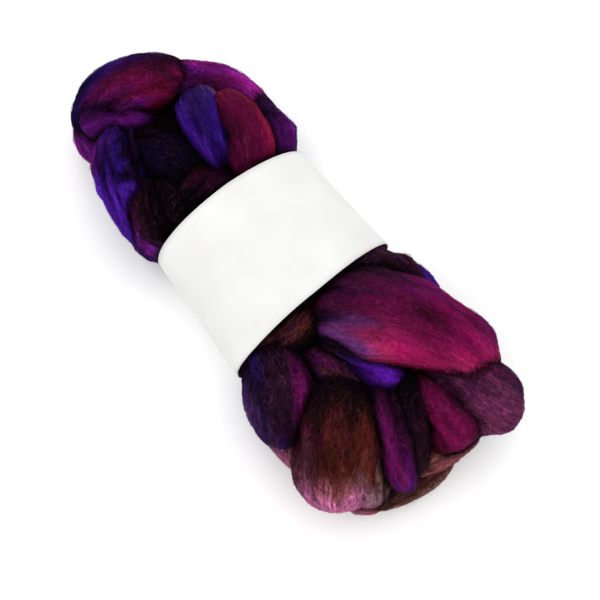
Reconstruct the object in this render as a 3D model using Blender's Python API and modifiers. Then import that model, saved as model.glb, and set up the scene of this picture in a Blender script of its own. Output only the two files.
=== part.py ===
"""A hank of dyed wool roving: one thick soft strand folded back and forth and chained on itself,
held round its middle by a plain paper band. +X runs along the hank and +Z is up; the hank lies on z = 0."""

import collections
import math

import bmesh
import bpy
from mathutils import Vector

MM = 0.001

# The strand's folds: each is a bent, plump length of the strand whose two ends dive into the heap.
SIDES = (13, 12)  # faces round a fold and from end to end of it
LOW_SIDES = (12, 8)  # the same of the folds low on the sides and underneath
BLUNTNESS = 3.4  # power of a fold's outline: 2 is an ellipse, more is fuller towards the ends
FULLNESS = 2.3  # the same of its section
DIVE = 2.6  # power with which a fold's ends go down

# Sizes in mm and angles in degrees. x, y: the middle of the fold in plan. top: the height of its crown.
# heading: its direction there, from +X towards +Y. span: its length. turn: how far it bends to the left.
# wide, deep: its section. drop: how far both ends go down. tilt: how much higher its end is than its start.
# flare: the share by which it widens towards its end. lean: how far its broad face turns to the left.
Fold = collections.namedtuple("Fold", "name x y top heading span turn wide deep drop tilt flare lean")

FOLDS = (
    # name                 x      y  top head span turn wide deep drop tilt flare lean
    ("heart",           -20,    -2,  46,   0, 262,   0,  92,  40,   0,   0,   0.0,   0),
    ("heart_far",      -105,    -4,  50,   0,  96,   0,  66,  50,   3,   0,   0.0,   0),
    ("heart_near",       59,    -3,  56,   0, 114,   0,  98,  56,   5,   0,   0.0,   0),
    ("waist_near",      -22,   -26,  80,   0,  86,   0,  52,  70,   3,   0,   0.0, -20),
    ("waist_mid",       -22,     0,  82,   0,  88,   0,  46,  62,   3,   0,   0.0,   0),
    ("waist_far",       -22,    22,  80,   0,  86,   0,  52,  70,   3,   0,   0.0,  20),
    ("end_wrap",       -153,   -28,  44, -42,  54,  91,  38,  24,   2,   0,   0.0, -70),
    ("crest",          -148,    -7,  62,  76,  68, -66,  37,  30,   9,   5,   0.0,   0),
    ("under_crest",    -140,   -21,  54,  63,  38, -33,  19,  22,   5,  -3,   0.0,   0),
    ("far_shoulder",   -120,    32,  57,  31,  61, -60,  32,  32,   7,   0,   0.0,   0),
    ("violet_corner",  -102,    43,  44,  -1,  46, -40,  28,  28,   2,   0,   0.0,  30),
    ("right_flank",     -80,    38,  58,  -9,  54, -35,  32,  34,   6,   0,   0.0,  30),
    ("violet_over",  -100.5,  14.5,  75, -10,  39,  10,  23,  42,  12,   0, -0.12, -10),
    ("crimson_over",    -86,  26.7,  77, -12,  41, -27,  29,  44,  12,   1,   0.0,  10),
    ("dark_centre",    -104,   -10,  56,  45,  62, -13,  40,  32,   7,   1,   0.0,   0),
    ("navy_cross",      -86,   -19,  51,  53,  60,  52,  28,  28,   5,   1,   0.0,   0),
    ("near_flank",     -108,   -40,  66, -24,  68,  34,  22,  36,  12,  -3,  -0.2, -30),
    ("maroon_tail",     -74,   -45,  64, -24,  58,  24,  17,  32,   9,   1,   0.0, -10),
    ("dark_tail",       -73,   -32,  56, -16,  46,  22,  24,  28,   6,   0,   0.0,   0),
    ("maroon_wisp",     -74,    -8,  58,  89,  40, -11,  22,  26,   7,   1,   0.0,   0),
    ("near_rim",        -80,   -39,  44,  -6,  56,   0,  36,  26,   2,   0,   0.0, -60),
    ("dark_knuckle",     22,    37,  72,  41,  46, -85,  25,  34,  12,  -1,   0.0,  15),
    ("violet_edge",      38,    47,  53,   7,  48, -33,  30,  28,   4,   0,   0.0,  60),
    ("great_fold",       58,  29.5,  86,  33, 102, -28,  47,  50,  20,  -2, -0.26,   0),
    ("violet_lining",  56.5,  -1.6,  66,  26,  47,  40,  18,  32,   4,  -1,   0.0,   0),
    ("maroon_cross",   49.5,  -9.5,  62,  29,  52,  34,  26,  34,   4,   0,   0.0,   0),
    ("brown_stub",       21,   -25,  68,  92,  44,  28,  22,  38,   8,   2,   0.0,   0),
    ("left_lobe",        41,   -44,  69, -31,  55, -17,  32,  40,  14,  -1,   0.0, -20),
    ("left_flank",       49,   -50,  44,  -8,  68,  33,  38,  26,   2,   0,   0.0, -60),
    ("brown_fan",      82.5,   -38,  68, -40,  60,  18,  47,  46,  17,  -2,  0.14,   0),
    ("grey_side",        96,   -31,  57, -27,  45,  -8,  24,  36,   9,  -5,   0.1,   0),
    ("purple_strap",   94.7, -13.5,  67, -28,  55,   5,  22,  32,  12,  -2,   0.0,   0),
    ("dark_strap",       98,   0.5,  64, -30,  52,   0,  22,  32,  11,  -2,   0.0,   0),
    ("magenta_wedge", 101.5,    17,  64,   4,  45,  12,  31,  35,  10,  -1,   0.0,   0),
    ("brown_wedge",     113,     8,  46,  81,  48,  -5,  28,  26,   5,   1,   0.0, -20),
    ("plum_end",      103.5,    34,  67,  34,  54,   8,  37,  42,  13,  -4,  0.05,   0),
    ("under_loop",      116,   -13,  29,  83,  62,  59,  28,  26,   4,   0,   0.0, -30),
    ("far_foot",       -142,     0,  34,  90,  84, -90,  40,  26,   0,   0,   0.0,  70),
    ("near_foot",       102,     4,  34,  90, 100,  80,  40,  26,   0,   0,   0.0, -70),
)

# The low folds of the two long sides, a row on each, plaited by heading up and down in turn.
FLANK_PITCH = 38
FLANK_FIRST = -100
FLANK_COUNT = 6
FLANK_OUT = 35  # of the first from the middle line
FLANK_SPREAD = 0.06  # how much further out each is, per mm along

# The folds it lies on: pairs of lobes that meet in a V, one after another.
UNDER_PITCH = 33
UNDER_FIRST = -113
UNDER_COUNT = 7
UNDER_OUT = 17
UNDER_STAGGER = 11  # how far the far lobe of a pair is ahead of the near one

# The paper band round the middle.
BAND_FAR = -60 * MM
BAND_NEAR = 17 * MM
BAND_PAPER = 1 * MM
BAND_CLEAR = 0.3 * MM
BAND_SIDES = 72
BAND_HALF_WIDTH = (50 * MM, 54 * MM)  # at its far and near edges
BAND_HALF_HEIGHT = (41 * MM, 43 * MM)
BAND_MIDDLE_Y = -2 * MM
BAND_SINK = 3 * MM  # how far the oval would reach below the floor, where the paper lies flat
BAND_SQUARENESS = 2.5  # power of its oval section: 2 is an ellipse
TRIM_DEPTH = 40 * MM

FLOOR_BLOCK = 0.5
COLOURS = {
    "roving": ((0.10, 0.006, 0.10), 0.85),
    "band": ((0.86, 0.85, 0.83), 0.6),
}


def flank_folds():
    for side, side_name in ((-1, "near"), (1, "far")):
        for step in range(FLANK_COUNT):
            heading = side * (-11 if step % 2 else 13)
            x = FLANK_FIRST + FLANK_PITCH * step
            y = side * (FLANK_OUT + FLANK_SPREAD * FLANK_PITCH * step)
            yield Fold(f"flank_{side_name}_{step}", x, y, 40, heading, 66, 0, 42, 28, 2, 0, 0.0, side * 76)


def under_folds():
    for side, side_name in ((-1, "near"), (1, "far")):
        for step in range(UNDER_COUNT):
            heading = side * (30 + 4 * (step % 3))
            x = UNDER_FIRST + UNDER_PITCH * step + UNDER_STAGGER * (side + 1) / 2
            yield Fold(f"under_{side_name}_{step}", x, side * UNDER_OUT - 1, 27, heading, 56, 0, 35, 32, 0, 0, 0.0, 0)


def full_circle(angle, power):
    """A point of the unit circle, moved out where the power is above 2."""
    x = math.copysign(abs(math.cos(angle)) ** (2 / power), math.cos(angle))
    y = math.copysign(abs(math.sin(angle)) ** (2 / power), math.sin(angle))
    return x, y


def spot(fold, t):
    """The middle of the fold's section at t, from -1 to 1 along it, and the directions across it and out of its face."""
    turn = math.radians(fold.turn)
    start = math.radians(fold.heading)
    here = start + turn * t / 2
    if abs(turn) < 1e-6:
        ahead = Vector((math.cos(start), math.sin(start))) * fold.span * t / 2
    else:
        radius = fold.span / turn
        ahead = Vector((math.sin(here) - math.sin(start), math.cos(start) - math.cos(here))) * radius
    height = fold.top - fold.deep / 2 - fold.drop * abs(t) ** DIVE + fold.tilt * t
    rise = fold.tilt - math.copysign(fold.drop * DIVE * abs(t) ** (DIVE - 1), t)
    along = Vector((math.cos(here), math.sin(here), 2 * rise / fold.span)).normalized()
    level = Vector((-math.sin(here), math.cos(here), 0))
    out = along.cross(level)
    lean = math.radians(fold.lean)
    across = level * math.cos(lean) - out * math.sin(lean)
    face = out * math.cos(lean) + level * math.sin(lean)
    return Vector((fold.x + ahead.x, fold.y + ahead.y, height)), across, face


def add_fold(fold, sides, collection):
    """A sphere whose poles are drawn out to the fold's two ends."""
    shape = bmesh.new()
    bmesh.ops.create_uvsphere(shape, u_segments=sides[0], v_segments=sides[1], radius=1)
    for point in shape.verts:
        t = max(-1.0, min(1.0, point.co.z))
        round_it = math.atan2(point.co.y, point.co.x)
        fullness = (1 - abs(t) ** BLUNTNESS) ** 0.5
        middle, across, face = spot(fold, t)
        half_width = fold.wide / 2 * (1 + fold.flare * t) * fullness
        half_depth = fold.deep / 2 * fullness
        sideways, outwards = full_circle(round_it, FULLNESS)
        place = middle + across * half_width * sideways + face * half_depth * outwards
        point.co = place * MM
    bmesh.ops.recalc_face_normals(shape, faces=shape.faces)
    return add_mesh(fold.name, shape, collection)


def add_mesh(name, shape, collection):
    mesh = bpy.data.meshes.new(name)
    shape.to_mesh(mesh)
    shape.free()
    made = bpy.data.objects.new(name, mesh)
    collection.objects.link(made)
    return made


def band_ring(name, spread, reach, collection):
    """An open tube in the band's oval section, moved out by spread and longer by reach at both ends."""
    shape = bmesh.new()
    bmesh.ops.create_cone(shape, segments=BAND_SIDES, radius1=1, radius2=1, depth=2)
    for point in shape.verts:
        end = 0 if point.co.z < 0 else 1
        round_it = math.atan2(point.co.y, point.co.x)
        half_width = BAND_HALF_WIDTH[end] + spread
        half_height = BAND_HALF_HEIGHT[end] + spread
        sideways, upwards = full_circle(round_it, BAND_SQUARENESS)
        x = (BAND_FAR - reach, BAND_NEAR + reach)[end]
        y = BAND_MIDDLE_Y + half_width * sideways
        z = max(-spread, BAND_HALF_HEIGHT[end] - BAND_SINK + half_height * upwards)
        point.co = (x, y, z)
    return add_mesh(name, shape, collection)


def add_band(collection):
    """The paper: the ring's wall, with its thickness turned inwards."""
    band = band_ring("paper_band", 0, 0, collection)
    wall = band.modifiers.new("Paper", "SOLIDIFY")
    wall.thickness = BAND_PAPER
    wall.offset = -1
    return band


def add_floor_block(collection):
    shape = bmesh.new()
    bmesh.ops.create_cube(shape, size=FLOOR_BLOCK)
    bmesh.ops.translate(shape, verts=shape.verts, vec=(0, 0, -FLOOR_BLOCK / 2))
    return add_mesh("floor_block", shape, collection)


def add_trim(collection):
    """What the band keeps free: all of its length from just inside the paper outwards."""
    trim = band_ring("band_trim", -BAND_PAPER - BAND_CLEAR, BAND_CLEAR, collection)
    wall = trim.modifiers.new("Depth", "SOLIDIFY")
    wall.thickness = TRIM_DEPTH
    wall.offset = 1
    return trim


def cut(body, operation, name, other):
    """Joins or cuts the body with an object, or with all of a collection."""
    change = body.modifiers.new(name, "BOOLEAN")
    change.operation = operation
    if isinstance(other, bpy.types.Collection):
        change.operand_type = "COLLECTION"
        change.collection = other
    else:
        change.object = other
    change.solver = "EXACT"
    return change


def paint(thing, name):
    colour, roughness = COLOURS[name]
    material = bpy.data.materials.new(name)
    material.use_nodes = True
    surface = material.node_tree.nodes["Principled BSDF"]
    surface.inputs["Base Color"].default_value = (*colour, 1)
    surface.inputs["Roughness"].default_value = roughness
    thing.data.materials.append(material)


def helper_collection(name):
    made = bpy.data.collections.new(name)
    bpy.context.scene.collection.children.link(made)
    return made


def hide_helpers(collection):
    for helper in collection.objects:
        helper.hide_render = True
        helper.display_type = "WIRE"


def centre_in_plan(folds, things):
    """Brings the middle of the hank's outline over the origin."""
    points = [point.co for fold in folds for point in fold.data.vertices]
    middle_x = (min(p.x for p in points) + max(p.x for p in points)) / 2
    middle_y = (min(p.y for p in points) + max(p.y for p in points)) / 2
    for thing in things:
        thing.location = (-middle_x, -middle_y, 0)


def main():
    for thing in list(bpy.data.objects):
        bpy.data.objects.remove(thing)
    hank = helper_collection("wool_roving_hank")
    folding = helper_collection("folds")
    cutters = helper_collection("cutters")

    roving = add_fold(Fold(*FOLDS[0]), SIDES, hank)
    roving.name = "roving"
    upper = [add_fold(Fold(*row), SIDES, folding) for row in FOLDS[1:]]
    lower = [add_fold(fold, LOW_SIDES, folding) for fold in (*flank_folds(), *under_folds())]
    lengths = upper + lower
    band = add_band(hank)
    floor_block = add_floor_block(cutters)
    trim = add_trim(cutters)
    centre_in_plan([roving, *lengths], [roving, *lengths, band, trim])

    cut(roving, "UNION", "Fuse the folds", folding)
    cut(roving, "DIFFERENCE", "Lie flat", floor_block)
    cut(roving, "DIFFERENCE", "Room for the band", trim)
    paint(roving, "roving")
    paint(band, "band")
    hide_helpers(folding)
    hide_helpers(cutters)


main()
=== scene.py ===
import collections
import math

import bpy
import numpy as np
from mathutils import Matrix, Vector
from mathutils.bvhtree import BVHTree


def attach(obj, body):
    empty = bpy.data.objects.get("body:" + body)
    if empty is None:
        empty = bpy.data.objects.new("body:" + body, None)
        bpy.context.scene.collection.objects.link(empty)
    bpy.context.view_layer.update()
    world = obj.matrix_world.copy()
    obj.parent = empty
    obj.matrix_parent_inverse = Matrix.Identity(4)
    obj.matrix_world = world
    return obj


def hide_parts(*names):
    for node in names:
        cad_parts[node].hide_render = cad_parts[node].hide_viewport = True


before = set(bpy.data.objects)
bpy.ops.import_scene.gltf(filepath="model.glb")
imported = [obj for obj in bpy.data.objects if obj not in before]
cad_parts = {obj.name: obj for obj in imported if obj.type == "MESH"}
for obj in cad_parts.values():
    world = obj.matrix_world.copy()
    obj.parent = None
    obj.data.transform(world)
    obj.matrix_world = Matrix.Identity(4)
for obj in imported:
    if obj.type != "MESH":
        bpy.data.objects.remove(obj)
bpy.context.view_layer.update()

print("frame loaded")

mm = 0.001
bpy.ops.object.select_all(action="DESELECT")

# Camera: fixed first, as everything is judged through it.
camera = {"azimuth": 52, "elevation": 75, "distance": 0.78, "lens": 85, "sensor": 36, "clip": (0.01, 20),
          "target": (0.0201, 0.0036, 0.040), "shift": (2 / 600, -13 / 600)}


def addCamera(spec):
    turn, rise = math.radians(spec["azimuth"]), math.radians(spec["elevation"])
    back = Vector((math.sin(turn) * math.cos(rise), -math.cos(turn) * math.cos(rise), math.sin(rise)))
    bpy.ops.object.camera_add(location=Vector(spec["target"]) + back * spec["distance"])
    made = bpy.context.object
    made.rotation_euler = back.to_track_quat("Z", "Y").to_euler()
    made.data.lens = spec["lens"]
    made.data.sensor_width = spec["sensor"]
    made.data.shift_x, made.data.shift_y = spec["shift"]
    made.data.clip_start, made.data.clip_end = spec["clip"]
    bpy.context.scene.camera = made


addCamera(camera)

# The dye colours, as they look on the wool in plain light, and how deep they are laid on.
dyes = {
    "black": (3, 1, 4), "ink": (7, 2, 25), "navy": (16, 5, 56), "indigo": (30, 8, 86),
    "violet": (48, 13, 112), "duskViolet": (40, 14, 84), "iris": (74, 24, 150),
    "lining": (82, 18, 148), "greyViolet": (82, 52, 106), "heather": (98, 46, 108), "dusk": (44, 22, 62),
    "purple": (66, 9, 80), "damson": (32, 4, 42), "amethyst": (90, 14, 108),
    "royal": (52, 10, 92), "orchid": (140, 26, 126), "fuchsia": (92, 10, 76),
    "claret": (104, 8, 64), "wine": (78, 6, 46), "darkWine": (44, 3, 26), "crimson": (112, 11, 45),
    "rosewood": (138, 34, 76), "raspberry": (148, 21, 80), "pink": (205, 62, 128),
    "maroon": (56, 8, 30), "oxblood": (24, 3, 14), "grape": (56, 10, 44),
    "plum": (54, 16, 44), "darkPlum": (26, 7, 23), "greyPlum": (92, 36, 70),
    "umber": (62, 20, 14), "brown": (56, 17, 14), "peat": (20, 5, 3), "chestnut": (92, 38, 24),
    "brownPlum": (66, 30, 40), "roseBrown": (116, 62, 66), "mauve": (146, 78, 114),
    "rose": (170, 94, 136), "greyMauve": (124, 86, 102), "greyBrown": (94, 64, 58),
}
dyeDepth = 0.69

# The folds of the strand: the solid's, about half of them moved or drawn in by a few mm, and one thin
# strand more. The columns are those of Fold, in mm and degrees; t runs from -1 to 1 along a fold.
foldForm = {"dive": 2.6, "bluntness": 3.4, "fullness": 2.3, "shift": (20.10, 3.60)}
Fold = collections.namedtuple("Fold", "name x y top heading span turn wide deep drop tilt flare lean",
                              defaults=(0, 0))
farFolds = (
    ("endWrap", -153, -28, 44, -42, 54, 91, 38, 24, 2, 0, 0, -70),
    ("crest", -148.7, -6.4, 62, 79, 68, -66, 35, 30, 9, 5, -0.16),
    ("underCrest", -139.4, -21.4, 57.5, 63, 38, -33, 24, 22, 5, -3),
    ("farShoulder", -120, 32, 57, 31, 61, -60, 32, 32, 7, 0),
    ("violetCorner", -102, 43, 44, -1, 46, -40, 28, 28, 2, 0, 0, 30),
    ("rightFlank", -80, 38, 58, -9, 54, -35, 32, 34, 6, 0, 0, 30),
    ("violetOver", -99.6, 15.6, 75, -14, 32, 10, 26.5, 42, 12, 0, -0.16, -10),
    ("crimsonOver", -85.2, 25.8, 77, -12, 38.5, -27, 29, 44, 12, 1, -0.12, 10),
    ("darkCentre", -104, -10, 56, 45, 62, -13, 40, 32, 7, 1),
    ("navyCross", -86, -19, 51, 53, 60, 52, 28, 28, 5, 1),
    ("nearFlank", -105.7, -41.1, 66, -24, 63, 34, 22, 36, 12, -3, -0.2, -30),
    ("maroonTail", -74, -45, 64, -24, 58, 24, 17, 32, 9, 1, 0, -10),
    ("darkTail", -73, -32, 56, -16, 46, 22, 24, 28, 6, 0),
    ("maroonWisp", -74, -8, 58, 89, 40, -11, 22, 26, 7, 1),
    ("slimStrand", -110, -29, 62, -30, 42, 8, 3.6, 5, 3, 0),
    ("nearRim", -80, -39, 44, -6, 56, 0, 36, 26, 2, 0, 0, -60),
    ("farFoot", -142, 0, 34, 90, 84, -90, 40, 26, 0, 0, 0, 70),
)
nearFolds = (
    ("darkKnuckle", 22, 37, 72, 41, 46, -85, 25, 34, 12, -1, 0, 15),
    ("violetEdge", 38, 47, 53, 7, 48, -33, 30, 28, 4, 0, 0, 60),
    ("greatFold", 55.7, 30.5, 86, 33, 95, -40, 47, 50, 20, -2, -0.12),
    ("violetLining", 57, -3.9, 69, 26, 48, 40, 17, 32, 4, -1, 0.3),
    ("maroonCross", 52, -11.6, 61, 29, 52, 34, 26, 34, 4, 0),
    ("brownStub", 21, -25, 68, 92, 44, 28, 22, 38, 8, 2),
    ("leftLobe", 40.1, -43.3, 69, -31, 51, -17, 32, 40, 14, -1, 0, -20),
    ("leftFlank", 49, -50, 44, -8, 68, 33, 38, 26, 2, 0, 0, -60),
    ("brownFan", 81.7, -36, 68, -37, 58, 18, 47, 46, 17, -2, 0.26),
    ("greySide", 95.5, -30, 60, -27, 45, -8, 27, 36, 7, -5, 0.1),
    ("purpleStrap", 96, -11.8, 67, -23, 55, 5, 22, 32, 12, -2),
    ("darkStrap", 96.5, -1.4, 64, -37, 52, 0, 22, 32, 11, -2),
    ("magentaWedge", 100.3, 19.1, 64, -10, 40, 12, 34, 35, 10, -1, 0.28),
    ("brownWedge", 113, 8, 46, 81, 48, -5, 28, 26, 5, 1, 0, -20),
    ("plumEnd", 102.3, 34.3, 67, 34, 54, 8, 36, 42, 13, -4, 0.2),
    ("underLoop", 116, -13, 29, 83, 62, 59, 28, 26, 4, 0, 0, -30),
    ("nearFoot", 100.5, 6.5, 34, 90, 92, 80, 40, 26, 0, 0, 0, -70),
)
innerFolds = (
    ("heart", -20, -2, 42, 0, 258, 0, 88, 36, 0, 0),
    ("heartFar", -105, -4, 46, 0, 92, 0, 60, 42, 3, 0),
    ("heartNear", 65, -5, 48, 0, 96, 0, 76, 44, 5, 0),
    ("waistNear", -22, -26, 80, 0, 86, 0, 52, 70, 3, 0, 0, -20),
    ("waistMid", -22, 0, 82, 0, 88, 0, 46, 62, 3, 0),
    ("waistFar", -22, 22, 80, 0, 86, 0, 52, 70, 3, 0, 0, 20),
)

# Dyes of each fold at places along it: t, then those on its right, its crown and its left, or the one
# that is all round it. The black stops at the ends and edges of folds are painted shade.
dyeing = {
    "endWrap": ((-1, "purple amethyst indigo"), (0, "orchid amethyst purple"),
        (1, "amethyst amethyst purple")),
    "crest": ((-1, "royal navy navy"), (-0.72, "amethyst indigo navy"), (-0.48, "orchid fuchsia navy"),
        (-0.1, "amethyst wine indigo"), (0.25, "claret wine navy"), (0.6, "crimson darkWine damson"),
        (0.85, "wine claret darkWine"), (1, "darkWine wine wine")),
    "underCrest": ((-1, "purple amethyst purple"), (0.4, "amethyst"), (1, "damson purple purple")),
    "farShoulder": ((-1, "black black purple"), (-0.7, "damson damson purple"),
        (-0.4, "damson amethyst orchid"), (-0.1, "darkWine fuchsia fuchsia"),
        (0.15, "damson fuchsia amethyst"), (0.4, "amethyst orchid orchid"), (0.8, "purple orchid orchid"),
        (1, "purple purple amethyst")),
    "violetCorner": ((-1, "indigo violet iris"), (1, "navy violet iris")),
    "rightFlank": ((-1, "damson dusk purple"), (-0.3, "damson damson dusk"), (0.3, "damson purple amethyst"),
        (1, "darkPlum damson purple")),
    "violetOver": ((-1, "navy duskViolet greyViolet"), (-0.7, "navy duskViolet greyViolet"),
        (-0.3, "violet duskViolet indigo"), (0.1, "violet indigo violet"), (0.6, "iris violet indigo"),
        (1, "indigo violet indigo")),
    "crimsonOver": ((-1, "grape rosewood greyPlum"), (-0.7, "maroon crimson rosewood"),
        (-0.4, "darkWine wine crimson"), (0, "darkWine wine crimson"), (0.5, "wine wine crimson"),
        (1, "wine wine crimson")),
    # painted shadow: darkCentre lies under the folds around it; its ink and black are its navy dye darkened
    "darkCentre": ((-1, "black"), (-0.2, "ink ink black"), (0.2, "black ink ink"), (0.6, "black"),
        (1, "black")),
    "navyCross": ((-1, "indigo ink black"), (0, "navy ink black"), (1, "ink black black")),
    "nearFlank": ((-1, "amethyst amethyst royal"), (-0.6, "amethyst royal indigo"),
        (-0.25, "purple navy indigo"), (0, "iris indigo indigo"), (0.3, "iris"), (1, "iris iris violet")),
    "maroonTail": ((-1, "oxblood"), (-0.3, "grape oxblood black"), (0.3, "amethyst darkPlum black"),
        (1, "amethyst dusk black")),
    "darkTail": ((-1, "oxblood black black"), (0.3, "black"), (1, "dusk dusk black")),
    "maroonWisp": ((-1, "black"), (-0.3, "black black oxblood"), (0.3, "grape grape darkWine"),
        (1, "black oxblood maroon")),
    "slimStrand": ((-1, "purple royal royal"), (1, "indigo indigo damson")),
    "nearRim": ((-1, "violet violet royal"), (0.2, "iris violet purple"), (0.6, "royal royal damson"),
        (1, "dusk dusk damson")),
    "farFoot": ((-1, "darkWine purple navy"), (1, "purple fuchsia indigo")),
    "darkKnuckle": ((-1, "black darkPlum darkPlum"), (0.3, "black darkPlum grape"),
        (1, "black plum purple")),
    "violetEdge": ((-1, "violet royal violet"), (1, "iris violet violet")),
    "greatFold": ((-1, "black"), (-0.84, "dusk black black"), (-0.64, "heather grape black"),
        (-0.52, "heather grape darkPlum"), (-0.24, "rosewood wine grape"), (0, "raspberry wine fuchsia"),
        (0.35, "raspberry claret claret"), (0.7, "rosewood raspberry fuchsia"),
        (1, "pink rosewood fuchsia")),
    "violetLining": ((-1, "black"), (-0.4, "darkPlum darkPlum black"), (-0.1, "lining violet dusk"),
        (0.4, "lining lining violet"), (1, "lining lining indigo")),
    "maroonCross": ((-1, "black damson black"), (-0.5, "purple grape damson"),
        (0, "brownPlum brownPlum plum"), (0.5, "roseBrown brownPlum plum"), (1, "chestnut brown peat")),
    "brownStub": ((-1, "peat plum brownPlum"), (0, "peat brownPlum brownPlum"),
        (0.6, "peat brown roseBrown"), (1, "black peat brown")),
    "leftLobe": ((-1, "navy ink darkPlum"), (-0.5, "navy darkPlum fuchsia"), (0.1, "ink darkPlum fuchsia"),
        (0.5, "dusk darkPlum fuchsia"), (0.8, "dusk damson darkPlum"), (1, "violet indigo black")),
    "leftFlank": ((-1, "dusk royal indigo"), (0, "greyViolet dusk royal"), (0.35, "mauve mauve plum"),
        (1, "rose rose mauve")),
    # painted shade: the black and peat at the fan's top end
    "brownFan": ((-1, "black"), (-0.6, "black"), (-0.34, "peat"), (-0.08, "maroon brown umber"),
        (0.18, "brownPlum umber umber"), (0.38, "brownPlum umber chestnut"),
        (0.55, "mauve roseBrown greyMauve"), (0.74, "rose rose mauve"), (1, "rose rose mauve")),
    "greySide": ((-1, "peat brown black"), (-0.1, "chestnut umber umber"),
        (0.4, "greyMauve greyBrown greyBrown"), (0.7, "mauve greyMauve greyBrown"),
        (1, "mauve greyMauve greyMauve")),
    "purpleStrap": ((-1, "black"), (-0.5, "black grape black"), (-0.15, "grape fuchsia darkPlum"),
        (0.3, "fuchsia fuchsia grape"), (0.65, "fuchsia fuchsia royal"), (1, "purple royal indigo")),
    "darkStrap": ((-1, "black"), (-0.35, "black black oxblood"), (0, "darkPlum darkPlum oxblood"),
        (0.7, "darkPlum plum darkPlum"), (1, "royal dusk plum")),
    "magentaWedge": ((-1, "black darkWine plum"), (-0.4, "wine wine grape"), (0.1, "claret wine grape"),
        (0.5, "claret claret wine"), (0.8, "crimson claret wine"), (1, "wine wine grape")),
    "brownWedge": ((-1, "roseBrown chestnut peat"), (0, "roseBrown roseBrown brown"),
        (0.6, "roseBrown brownPlum brown"), (1, "claret brown peat")),
    "plumEnd": ((-1, "darkWine darkPlum darkPlum"), (-0.5, "grape plum plum"), (-0.1, "greyPlum plum plum"),
        (0.3, "greyPlum greyPlum grape"), (0.7, "greyPlum greyPlum dusk"), (1, "heather heather violet")),
    "underLoop": ((-1, "greyBrown greyBrown peat"), (0, "greyBrown brown peat"),
        (0.6, "greyBrown umber peat"), (1, "greyBrown brown peat")),
    "nearFoot": ((-1, "maroon plum peat"), (1, "purple plum damson")),
    # painted shade: the hidden waist folds and cores are black, so gaps down to them read as deep shadow
    "waistNear": ((-1, "black"), (1, "navy black black")),
    "waistFar": ((-1, "black black damson"), (1, "black darkPlum darkPlum")),
}
for core in ("heart", "heartFar", "heartNear", "waistMid"):
    dyeing[core] = ((-1, "black"), (1, "black"))

# Degrees by which a fold's dyes are turned around it.
dyeTurn = {"leftLobe": 26}

# How loose and wispy the wool of a fold is, where that isn't the plain amount.
plainFluff = 0.4
fluffy = {
    "leftLobe": 1.0, "brownFan": 0.62, "greySide": 0.6, "maroonCross": 0.9, "brownStub": 0.9,
    "maroonTail": 0.9, "darkTail": 0.9, "underLoop": 0.8, "plumEnd": 0.6, "darkStrap": 0.6,
    "darkKnuckle": 0.9, "greatFold": 0.22, "magentaWedge": 0.3, "crimsonOver": 0.3, "violetOver": 0.45,
    "leftFlank": 0.8,
}

# What can't be seen from above: rows of low folds down the two long sides and underneath.
lowRows = {
    "flank": {"count": 6, "first": -100, "pitch": 38, "out": 35, "spread": 0.04, "stagger": 0, "middle": 0,
              "headings": (13, -11), "top": 40, "form": (66, 0, 42, 28, 2), "lean": 76, "dyeShift": 0},
    "under": {"count": 7, "first": -113, "pitch": 33, "out": 17, "spread": 0, "stagger": 11, "middle": -1,
              "headings": (30, 34, 38), "top": 27, "form": (56, 0, 35, 32, 0), "lean": 0, "dyeShift": 2},
}
lowDyes = {
    -1: ("violet indigo purple", "amethyst violet indigo", "plum maroon damson",
         "purple violet navy", "mauve purple violet", "mauve roseBrown maroon", "rose roseBrown brown"),
    1: ("indigo navy purple", "fuchsia purple violet", "purple damson wine",
        "claret wine purple", "violet fuchsia claret", "greyPlum plum grape",
        "greyViolet greyPlum plum"),
}


def lowFolds(rows):
    # the form of a row is its folds' span, turn, width, depth and drop; their dyes go into dyeing
    made = []
    for side, sideName in ((-1, "Near"), (1, "Far")):
        for kind, row in rows.items():
            for step in range(row["count"]):
                x = row["first"] + row["pitch"] * step + row["stagger"] * (side + 1) / 2
                y = side * (row["out"] + row["spread"] * row["pitch"] * step) + row["middle"]
                heading = side * row["headings"][step % len(row["headings"])]
                name = f"{kind}{sideName}{step}"
                made.append(Fold(name, x, y, row["top"], heading, *row["form"], 0, 0, side * row["lean"]))
                first = step + row["dyeShift"]
                own, following = (lowDyes[side][(first + on) % len(lowDyes[side])] for on in (0, 1))
                right, crown, left = own.split()
                if kind == "flank":
                    dyeing[name] = ((-1, own), (0.2, f"{crown} {right} {left}"), (1, following))
                else:
                    dyeing[name] = ((-1, f"{left} {crown} {right}"), (1, own))
    return made


# The band's oval, which the wool is pressed into: mm, in the frame of the folds.
band = {"far": -60, "near": 17, "halfWidth": (50, 54), "halfHeight": (41, 43), "middleY": -2, "sink": 3,
        "squareness": 2.5}


def bandHalf(name, share):
    # its half width or half height, at a share of the way from its far edge to its near edge
    return band[name][0] + (band[name][1] - band[name][0]) * share


def linear(rgb):
    share = np.asarray(rgb, float) / 255
    return np.where(share <= 0.04045, share / 12.92, ((share + 0.055) / 1.055) ** 2.4)


linearDyes = {name: linear(rgb) * dyeDepth for name, rgb in dyes.items()}


def fullCircle(angle, power):
    x = np.copysign(np.abs(np.cos(angle)) ** (2 / power), np.cos(angle))
    y = np.copysign(np.abs(np.sin(angle)) ** (2 / power), np.sin(angle))
    return x, y


def smoothStep(low, high, value):
    share = np.clip((value - low) / (high - low), 0, 1)
    return share * share * (3 - 2 * share)


def unit(vectors):
    return vectors / np.maximum(np.linalg.norm(vectors, axis=-1, keepdims=True), 1e-9)


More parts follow.
